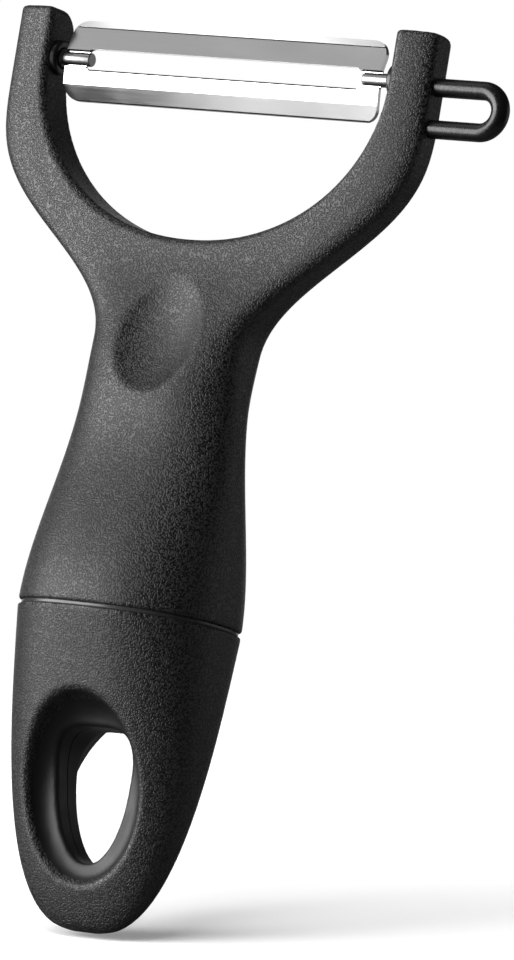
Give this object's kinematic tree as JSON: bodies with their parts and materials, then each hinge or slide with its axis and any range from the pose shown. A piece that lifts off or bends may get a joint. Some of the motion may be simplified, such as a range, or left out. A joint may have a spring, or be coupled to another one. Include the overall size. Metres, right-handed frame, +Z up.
{
  "type": "vegetable peeler",
  "caption": "Upright Y-shaped vegetable peeler: soft black handle with hang hole, swivelling slotted steel blade between the arms and a bent eye remover.",
  "frame": {"origin": "middle of the hang hole, half way through the end cap", "axes": "+Z up along the handle towards the blade, +X across the arms towards the eye remover, -Y the front face with the thumb dimple"},
  "size_m": [0.0865, 0.0284, 0.1379],
  "materials": {
    "grained_grip": "fine grained soft black",
    "smooth_dish": "smooth black",
    "collar_gloss": "glossy black",
    "bush_plastic": "smooth black acetal",
    "loop_gloss": "glossy black",
    "blade_steel": "polished stamped steel"
  },
  "bodies": {
    "handle_body": {"yoke_handle": "grained_grip", "end_cap": "grained_grip", "dish_insert_front": "smooth_dish", "dish_insert_rear": "smooth_dish", "joint_collar": "collar_gloss", "pivot_bush_left": "bush_plastic", "pivot_bush_right": "bush_plastic", "eye_remover_loop": "loop_gloss"},
    "blade_body": {"blade": "blade_steel"}
  },
  "joints": [
    {"name": "blade_swivel", "type": "hinge", "parent": "handle_body", "child": "blade_body", "pos_m": [0, 0, 0.1104], "axis": [1, 0, 0], "range_deg": [-45, 45]}
  ]
}
